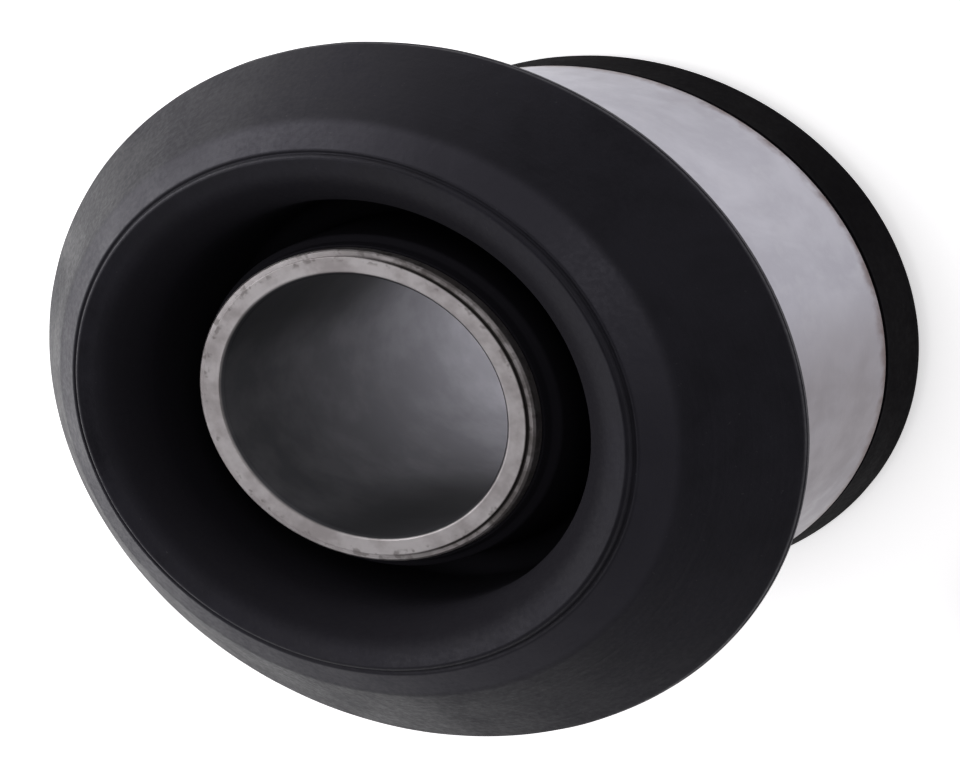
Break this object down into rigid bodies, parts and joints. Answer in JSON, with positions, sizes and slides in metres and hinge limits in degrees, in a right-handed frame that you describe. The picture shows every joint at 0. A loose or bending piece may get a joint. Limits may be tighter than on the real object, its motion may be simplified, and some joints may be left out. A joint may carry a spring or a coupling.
{
  "type": "flanged rubber-metal bush",
  "caption": "Round bonded bush: steel inner sleeve in a rubber body with a cupped conical flange and a steel press-fit outer sleeve.",
  "frame": {"origin": "centre of the far end face of the inner sleeve, which the bush stands on; it is the centre of the bottom of the bounding box", "axes": "+Z along the bush's axis, from the far end towards the rubber flange"},
  "size_m": [0.06, 0.06, 0.0392],
  "materials": {
    "inner_steel": "turned steel tube, satin, bright chamfers",
    "outer_steel": "zinc-plated steel, satin with faint mottling",
    "rubber": "moulded black rubber, satin"
  },
  "bodies": {
    "root": {"inner_sleeve": "inner_steel", "outer_sleeve": "outer_steel", "rubber_body": "rubber"}
  },
  "joints": []
}
